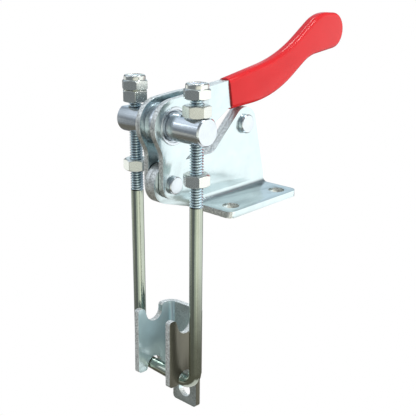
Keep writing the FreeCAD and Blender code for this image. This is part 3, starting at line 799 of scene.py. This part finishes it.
class CLAMP_OT_strike(bpy.types.Operator):
    """Dress the folded strike plate that hangs on the U-bolt"""

    bl_idname = "clamp.strike"
    bl_label = "Strike plate"

    # How the plate hangs on the bar: turned about Y and X, in degrees
    TIPPED = (5, -5)
    PRONG_REACH = 7 * MM
    TAB_HEIGHT = 20 * MM
    NEAR_WING = 4 * MM
    FACING = 0.7
    UPWARD = 0.3
    TAB_CRUMB = 0.6
    TAB_PAINTED_SHADE = 0.5

    def execute(self, context):
        size, look = sizes(), finishes()
        plate = plated("zinc_strike", tuple(look.strike), look.zinc_roughness,
                       cut_tint=tuple(look.cut_edge), metal=0.62, painted_shade_tint=STRIKE_PAINTED_SHADE)
        bm = merged_copy("strike_plate")
        left, near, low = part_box("strike_plate")[0]
        about_y, about_x = (math.radians(angle) for angle in self.TIPPED)
        upright = (Matrix.Rotation(about_y, 3, "Y") @ Matrix.Rotation(about_x, 3, "X")).inverted()

        def tab_front(face):
            on_tab = face.calc_center_median().z < low + self.TAB_HEIGHT
            return on_tab and (upright @ face.normal).x < -self.FACING

        def is_cut(face):
            normal = upright @ face.normal
            on_prong = face.calc_center_median().x < left + self.PRONG_REACH
            if abs(normal.z) > self.UPWARD or (normal.x < -self.FACING and on_prong):
                return 1.0
            return self.TAB_CRUMB if tab_front(face) else 0.0

        # Painted shade: the near wing's outer face is darkened to olive brown, and the tab's
        # front by half
        def painted_shade_share(face):
            on_near_wing = face.calc_center_median().y < near + self.NEAR_WING
            if on_near_wing and (upright @ face.normal).y < -self.FACING:
                return 1.0
            return self.TAB_PAINTED_SHADE if tab_front(face) else 0.0

        mark_faces(bm, "cut_edge", is_cut)
        mark_faces(bm, "painted_shade", painted_shade_share)
        add_piece(bm, "strike_dressed", "bolt", plate, ["strike_plate"],
                  edge=size.sheet_edge)
        return {"FINISHED"}


class CLAMP_OT_stage(bpy.types.Operator):
    """Add the floor, the light and the camera"""

    bl_idname = "clamp.stage"
    bl_label = "Stage"

    def execute(self, context):
        settings = context.scene.clamp_stage
        context.scene.view_settings.view_transform = "Standard"
        self.add_floor(settings)
        self.light_world(settings)
        self.add_lamps()
        self.add_camera()
        return {"FINISHED"}

    def add_floor(self, settings):
        bm = bmesh.new()
        bmesh.ops.create_grid(bm, x_segments=1, y_segments=1, size=settings.floor_size / 2)
        level = packed_box[0][2] - settings.floor_drop
        bmesh.ops.translate(bm, verts=bm.verts, vec=(0, 0, level))
        mesh = bpy.data.meshes.new("floor")
        bm.to_mesh(mesh)
        bm.free()
        floor = bpy.data.objects.new("floor", mesh)
        bpy.context.scene.collection.objects.link(floor)
        material = bpy.data.materials.new("pale_floor")
        shader = Shader(material)
        paint = shader.node("ShaderNodeBsdfDiffuse", {}, Color=FLOOR_PAINT)
        glow = shader.node("ShaderNodeEmission", {}, Color=(1.0, 1.0, 1.0), Strength=1.0)
        shader.finish(shader.node("ShaderNodeMixShader", {}, shader.seen_directly(),
                                  paint.out(), glow.out()))
        mesh.materials.append(material)

    def light_world(self, settings):
        """A dim cool room lit by a few large soft cards; the camera sees it as plain white."""
        world = bpy.data.worlds.new("studio")
        bpy.context.scene.world = world
        shader = Shader(world)
        aim = shader.node("ShaderNodeTexCoord", {}).out("Generated")
        room = ROOM_TINT
        for azimuth, elevation, inner, outer, tint in CARDS:
            turn, rise = math.radians(azimuth), math.radians(elevation)
            toward = (math.cos(turn) * math.cos(rise), math.sin(turn) * math.cos(rise),
                      math.sin(rise))
            facing = shader.vectors("DOT_PRODUCT", aim, toward).out("Value")
            cover = shader.rise(facing, math.cos(math.radians(outer)),
                                math.cos(math.radians(inner)))
            card = shader.vectors("SCALE", tint, Scale=cover).out()
            room = shader.vectors("ADD", room, card).out()
        height = shader.node("ShaderNodeSeparateXYZ", {}, aim).out("Z")
        above = shader.rise(height, *(math.sin(math.radians(edge)) for edge in GROUND_EDGE))
        room = shader.blend(above, GROUND_TINT, room)
        seen = shader.node("ShaderNodeLightPath", {}).out("Is Camera Ray")
        tint = shader.blend(seen, room, (1.0, 1.0, 1.0))
        strength = seen + (1.0 - seen) * settings.light
        shader.finish(shader.node("ShaderNodeBackground", {}, tint, strength),
                      "ShaderNodeOutputWorld")

    def add_lamps(self):
        """Soft light only: what metal mirrors are the cards in the world."""
        for name, place, width, power in LAMPS:
            lamp = bpy.data.lights.new(name, "AREA")
            lamp.size = width
            lamp.energy = power
            light = bpy.data.objects.new(name, lamp)
            light.visible_glossy = False
            aim = (Vector(LAMP_AIM) - Vector(place)).to_track_quat("-Z", "Y")
            light.matrix_world = Matrix.Translation(place) @ aim.to_matrix().to_4x4()
            bpy.context.scene.collection.objects.link(light)

    def add_camera(self):
        turn, rise = math.radians(PHOTO_AZIMUTH), math.radians(PHOTO_ELEVATION)
        back = Vector((math.sin(turn) * math.cos(rise), -math.cos(turn) * math.cos(rise),
                       math.sin(rise)))
        right = (-back).cross(Vector((0, 0, 1))).normalized()
        up = right.cross(-back)
        level = Matrix((right, up, back)).transposed()
        roll = Matrix.Rotation(math.radians(PHOTO_ROLL), 3, "Z")
        data = bpy.data.cameras.new("photo_camera")
        data.lens = PHOTO_LENS
        data.sensor_width = SENSOR_WIDTH
        data.clip_start = NEAREST_SEEN * MM
        camera = bpy.data.objects.new("photo_camera", data)
        camera.matrix_world = Matrix.Translation(PHOTO_PLACE) @ (level @ roll).to_4x4()
        bpy.context.scene.collection.objects.link(camera)
        bpy.context.scene.camera = camera


PIECES = (
    CLAMP_OT_base,
    CLAMP_OT_rivets,
    CLAMP_OT_lever,
    CLAMP_OT_grip,
    CLAMP_OT_trunnion,
    CLAMP_OT_u_bolt,
    CLAMP_OT_nuts,
    CLAMP_OT_lock_inserts,
    CLAMP_OT_strike,
    CLAMP_OT_stage,
)


class CLAMP_PT_pieces(bpy.types.Panel):
    """Lists the clamp's pieces, sizes and finishes"""

    bl_idname = "CLAMP_PT_pieces"
    bl_label = "Latch clamp"
    bl_space_type = "VIEW_3D"
    bl_region_type = "UI"
    bl_category = "Latch clamp"

    def draw(self, context):
        scene = context.scene
        for group in (scene.clamp_sizes, scene.clamp_finish, scene.clamp_stage):
            column = self.layout.column(align=True)
            for name in group.__annotations__:
                column.prop(group, name)
        for piece in PIECES:
            self.layout.operator(piece.bl_idname)


CLASSES = (ClampSizes, ClampFinish, ClampStage, *PIECES, CLAMP_PT_pieces)


def register():
    for item in CLASSES:
        bpy.utils.register_class(item)
    bpy.types.Scene.clamp_sizes = PointerProperty(type=ClampSizes)
    bpy.types.Scene.clamp_finish = PointerProperty(type=ClampFinish)
    bpy.types.Scene.clamp_stage = PointerProperty(type=ClampStage)


def unregister():
    del bpy.types.Scene.clamp_stage
    del bpy.types.Scene.clamp_finish
    del bpy.types.Scene.clamp_sizes
    for item in reversed(CLASSES):
        bpy.utils.unregister_class(item)


def main():
    register()
    for piece in PIECES:
        group, name = piece.bl_idname.split(".")
        getattr(getattr(bpy.ops, group), name)()


if __name__ == "__main__":
    main()
